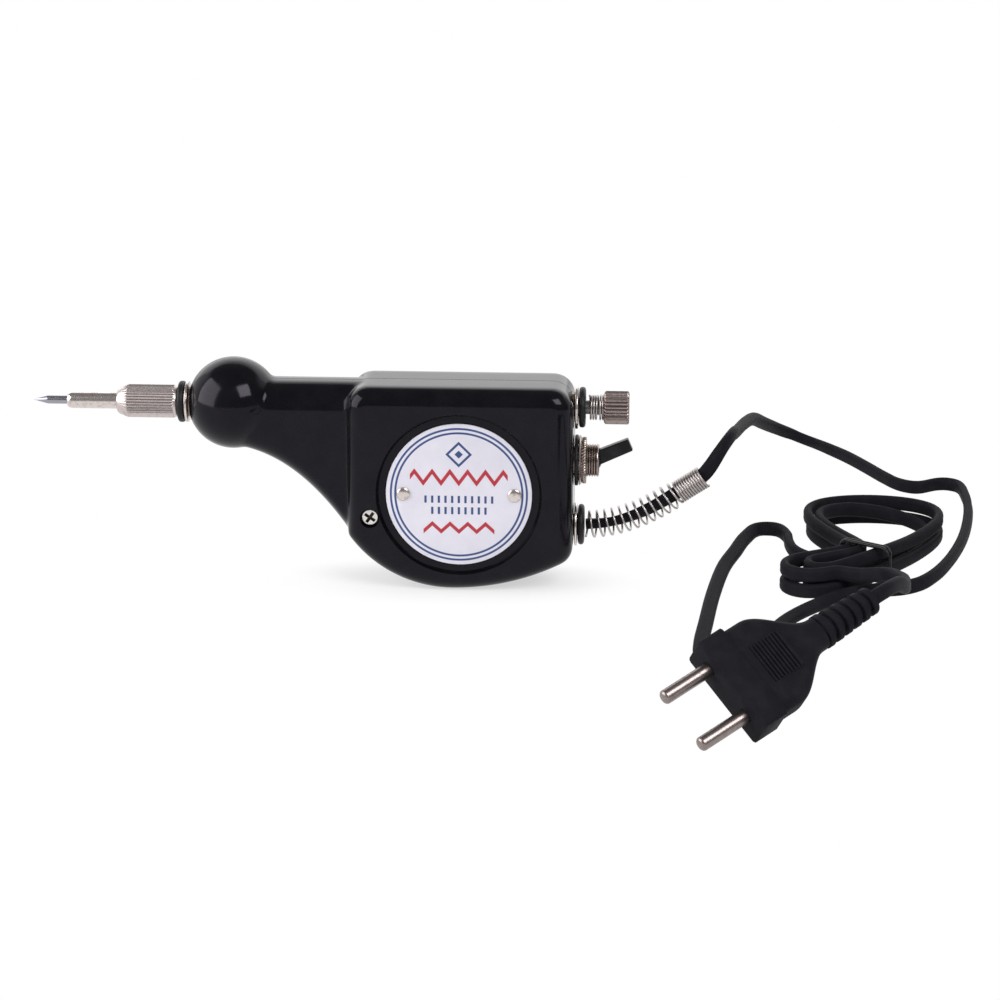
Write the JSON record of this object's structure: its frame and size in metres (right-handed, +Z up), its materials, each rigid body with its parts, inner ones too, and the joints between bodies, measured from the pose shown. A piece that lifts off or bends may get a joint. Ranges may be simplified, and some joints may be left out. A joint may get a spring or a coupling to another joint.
{
  "type": "electric engraver",
  "caption": "Hand-held electric engraver with a knurled needle chuck, ball nose, label plate, toggle switch, stroke knob, spring cord relief, tied flat cord and two-pin plug.",
  "frame": {"origin": "bottom centre of the box around the tool without its cord, plug and relief spring, on the surface that it stands on", "axes": "+X from the needle to the rear, +Y from the label side to the plain side, +Z up"},
  "size_m": [0.3494, 0.3616, 0.0822],
  "materials": {
    "bakelite": "gloss black moulding",
    "rubber": "matt black",
    "nickel": "nickel plated",
    "steel": "turned steel",
    "carbide": "ground carbide",
    "brass": "turned brass",
    "label": "satin plate",
    "iron": "stamped laminations",
    "copper": "enamelled winding wire",
    "cord": "satin black sheath",
    "switch_black": "satin black"
  },
  "bodies": {
    "casing": {"front_casing": "bakelite", "rear_casing": "bakelite", "front_rubber_washer": "rubber", "rear_rubber_washer": "rubber", "switch_washer": "rubber", "cord_grommet": "rubber", "label_rivet_1": "nickel", "label_rivet_2": "nickel", "case_screw_1": "nickel", "case_screw_2": "nickel", "case_screw_3": "nickel", "front_metal_washer": "nickel", "rear_metal_washer": "nickel", "return_spring": "nickel", "switch_bush": "nickel", "switch_ring_nut": "nickel", "cord_washer": "nickel", "relief_spring": "nickel", "plug_pin_1": "nickel", "plug_pin_2": "nickel", "core_screw_1": "steel", "core_screw_2": "steel", "armature_pin": "steel", "front_bush": "brass", "rear_bush": "brass", "switch_terminal_1": "brass", "switch_terminal_2": "brass", "label_plate": "label", "magnet_core": "iron", "coil_winding": "copper", "inner_cord": "cord", "cord_lead": "cord", "cord_hank": "cord", "cord_tail": "cord", "plug_body": "cord", "wire_cord_to_switch": "cord", "wire_switch_to_coil": "cord", "wire_cord_to_coil": "cord", "switch_body": "switch_black", "coil_bobbin": "switch_black", "cord_stop": "switch_black", "hank_tie": "switch_black"},
    "spindle": {"spindle": "steel", "drive_collar": "steel", "collar_screw": "steel"},
    "armature": {"armature_block": "iron", "armature_lever": "steel", "armature_rivet_1": "steel", "armature_rivet_2": "steel"},
    "collet": {"collet": "steel"},
    "chuck_nut": {"chuck_nut": "nickel"},
    "needle": {"needle_point": "carbide", "needle_shank": "nickel"},
    "spring_cap": {"spring_cap": "steel"},
    "adjuster": {"adjuster_knob": "nickel"},
    "switch_lever": {"switch_lever": "switch_black"}
  },
  "joints": [
    {"name": "spindle_slide", "type": "slide", "parent": "casing", "child": "spindle", "axis": [-1, 0, 0], "range_m": [0, 0.0008]},
    {"name": "armature_swing", "type": "hinge", "parent": "casing", "child": "armature", "pos_m": [0.06095, 0, 0.00938], "axis": [0, -1, 0], "range_deg": [0, 0.82]},
    {"name": "collet_slide", "type": "slide", "parent": "spindle", "child": "collet", "axis": [-1, 0, 0], "range_m": [0, 0.0021]},
    {"name": "chuck_nut_turn", "type": "hinge", "parent": "collet", "child": "chuck_nut", "pos_m": [-0.067, 0, 0.06553], "axis": [1, 0, 0], "range_deg": [0, 720]},
    {"name": "needle_slide", "type": "slide", "parent": "collet", "child": "needle", "axis": [-1, 0, 0], "range_m": [0, 0.02]},
    {"name": "cap_slide", "type": "slide", "parent": "spindle", "child": "spring_cap", "axis": [1, 0, 0], "range_m": [-0.00081, 0.00245], "deforming": ["return_spring"]},
    {"name": "adjuster_turn", "type": "hinge", "parent": "spring_cap", "child": "adjuster", "pos_m": [0.102, 0, 0.06553], "axis": [1, 0, 0], "range_deg": [-360, 1080]},
    {"name": "switch_swing", "type": "hinge", "parent": "casing", "child": "switch_lever", "pos_m": [0.0936, 0, 0.04568], "axis": [0, 1, 0], "range_deg": [0, 47]}
  ],
  "couplings": [
    {"joint": "armature_swing", "follows": "spindle_slide", "rad_per_m": 17.809},
    {"joint": "collet_slide", "follows": "chuck_nut_turn", "m_per_rad": 0.00015915},
    {"joint": "cap_slide", "follows": "adjuster_turn", "m_per_rad": 0.00012732}
  ]
}
